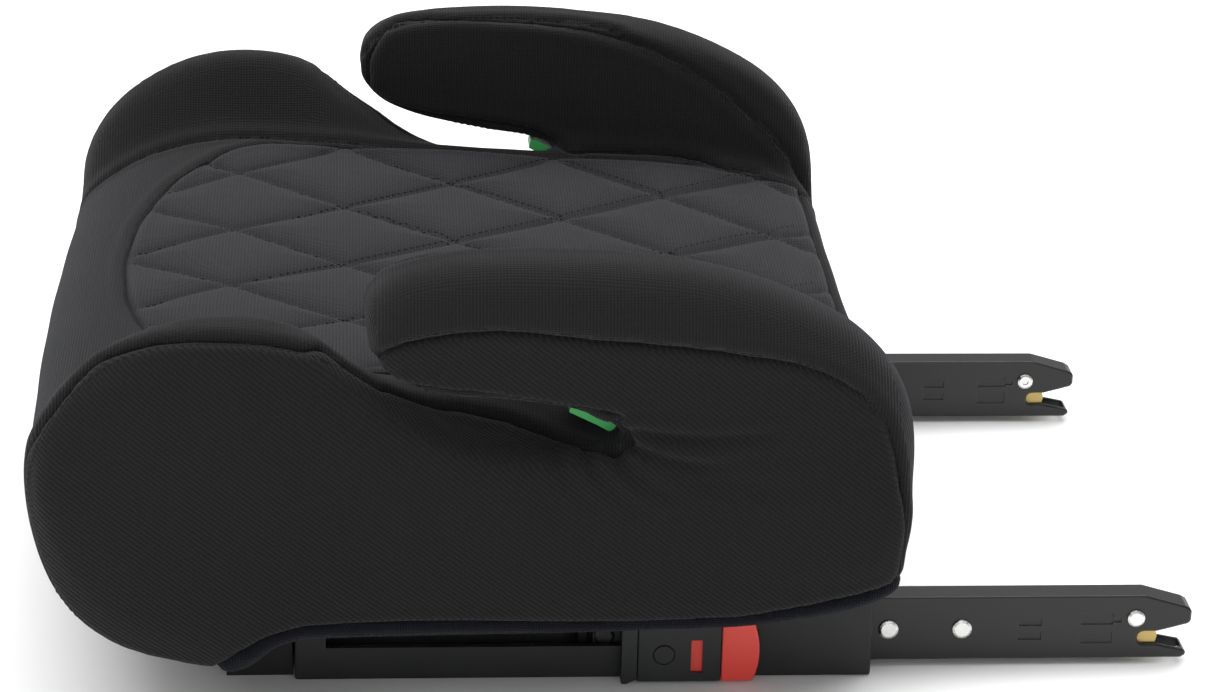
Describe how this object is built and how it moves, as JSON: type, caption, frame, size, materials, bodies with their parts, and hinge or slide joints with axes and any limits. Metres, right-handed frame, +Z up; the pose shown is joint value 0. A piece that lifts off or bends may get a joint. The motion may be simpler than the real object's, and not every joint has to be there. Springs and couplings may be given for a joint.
{
  "type": "booster seat",
  "caption": "Backless child booster seat with a quilted fabric cover, armrests that hold the lap belt, and rigid anchor connectors that slide out of the rear of the base.",
  "frame": {"origin": "on the ground under the middle of the bounding box, with the connectors out", "axes": "+X to the rear of the seat, the way the connectors point; +Y to the child's right; +Z up"},
  "size_m": [0.512, 0.41, 0.207],
  "materials": {
    "black_knit": "fine matt twill knit",
    "ribbed_knit": "grey ribbed knit, quilted in diamonds",
    "binding": "blue-black elastic binding tape",
    "foam": "grey closed-cell foam",
    "black_plastic": "matt black moulding",
    "rail_plastic": "dark grey satin moulding",
    "grey_plastic": "grey fine-textured moulding",
    "red_plastic": "red satin moulding",
    "green_plastic": "green satin moulding",
    "yellow_plastic": "yellow moulding",
    "grip_rubber": "matt black rubber",
    "painted_steel": "satin black coating on pressed steel",
    "rivet_steel": "bright zinc-plated rivet",
    "hook_steel": "hardened steel",
    "zinc_steel": "zinc-plated steel"
  },
  "bodies": {
    "seat": {"base_tray": "black_plastic", "front_cross_tube": "zinc_steel", "rear_cross_tube": "zinc_steel", "seat_shell": "black_plastic", "seat_foam": "foam", "left_side_foam": "foam", "right_side_foam": "foam", "top_cover": "black_knit", "quilted_panel": "ribbed_knit", "rear_cover": "black_knit", "left_side_cover": "black_knit", "right_side_cover": "black_knit", "hem_binding": "binding", "left_belt_guide": "green_plastic", "right_belt_guide": "green_plastic", "left_rail_housing": "rail_plastic", "left_rail_backplate": "zinc_steel", "left_front_grip_pad": "grip_rubber", "left_rear_grip_pad": "grip_rubber", "left_front_rail_screw": "zinc_steel", "left_rear_rail_screw": "zinc_steel", "right_rail_housing": "rail_plastic", "right_rail_backplate": "zinc_steel", "right_front_grip_pad": "grip_rubber", "right_rear_grip_pad": "grip_rubber", "right_front_rail_screw": "zinc_steel", "right_rear_rail_screw": "zinc_steel"},
    "left_connector": {"left_connector_arm": "painted_steel", "left_arm_end_plug": "black_plastic", "left_front_rivet": "rivet_steel", "left_rear_rivet": "rivet_steel", "left_jaw_pivot_rivet": "rivet_steel", "left_carriage_rivet": "rivet_steel", "left_slider_carriage": "grey_plastic", "left_slider_cap": "grey_plastic", "left_window_backing": "green_plastic"},
    "left_trigger": {"left_bar_trigger": "yellow_plastic", "left_trigger_rod": "zinc_steel", "left_state_flag": "red_plastic"},
    "left_latch": {"left_latch_hook": "hook_steel"},
    "left_release": {"left_release_button": "red_plastic", "left_release_rod": "zinc_steel"},
    "left_adjuster": {"left_adjuster_button": "grey_plastic"},
    "right_connector": {"right_connector_arm": "painted_steel", "right_arm_end_plug": "black_plastic", "right_front_rivet": "rivet_steel", "right_rear_rivet": "rivet_steel", "right_jaw_pivot_rivet": "rivet_steel", "right_carriage_rivet": "rivet_steel", "right_slider_carriage": "grey_plastic", "right_slider_cap": "grey_plastic", "right_window_backing": "green_plastic"},
    "right_trigger": {"right_bar_trigger": "yellow_plastic", "right_trigger_rod": "zinc_steel", "right_state_flag": "red_plastic"},
    "right_latch": {"right_latch_hook": "hook_steel"},
    "right_release": {"right_release_button": "red_plastic", "right_release_rod": "zinc_steel"},
    "right_adjuster": {"right_adjuster_button": "grey_plastic"}
  },
  "joints": [
    {"name": "left_arm_slide", "type": "slide", "parent": "seat", "child": "left_connector", "axis": [1, 0, 0], "range_m": [-0.12, 0]},
    {"name": "left_trigger_slide", "type": "slide", "parent": "left_connector", "child": "left_trigger", "axis": [-1, 0, 0], "range_m": [0, 0.006], "stiffness_N_per_m": 400, "springref_m": -0.003},
    {"name": "left_latch_swing", "type": "hinge", "parent": "left_connector", "child": "left_latch", "pos_m": [0.231, -0.14, 0.0227], "axis": [0, 1, 0], "range_deg": [0, 30]},
    {"name": "left_release_slide", "type": "slide", "parent": "left_connector", "child": "left_release", "axis": [1, 0, 0], "range_m": [0, 0.007], "stiffness_N_per_m": 300, "springref_m": -0.003},
    {"name": "left_adjuster_press", "type": "slide", "parent": "left_connector", "child": "left_adjuster", "axis": [0, 1, 0], "range_m": [0, 0.003], "stiffness_N_per_m": 600, "springref_m": -0.002},
    {"name": "right_arm_slide", "type": "slide", "parent": "seat", "child": "right_connector", "axis": [1, 0, 0], "range_m": [-0.12, 0]},
    {"name": "right_trigger_slide", "type": "slide", "parent": "right_connector", "child": "right_trigger", "axis": [-1, 0, 0], "range_m": [0, 0.006], "stiffness_N_per_m": 400, "springref_m": -0.003},
    {"name": "right_latch_swing", "type": "hinge", "parent": "right_connector", "child": "right_latch", "pos_m": [0.231, 0.14, 0.0227], "axis": [0, 1, 0], "range_deg": [0, 30]},
    {"name": "right_release_slide", "type": "slide", "parent": "right_connector", "child": "right_release", "axis": [1, 0, 0], "range_m": [0, 0.007], "stiffness_N_per_m": 300, "springref_m": -0.003},
    {"name": "right_adjuster_press", "type": "slide", "parent": "right_connector", "child": "right_adjuster", "axis": [0, -1, 0], "range_m": [0, 0.003], "stiffness_N_per_m": 600, "springref_m": -0.002}
  ],
  "couplings": [
    {"joint": "left_latch_swing", "follows": "left_trigger_slide", "rad_per_m": 87},
    {"joint": "right_latch_swing", "follows": "right_trigger_slide", "rad_per_m": 87}
  ]
}
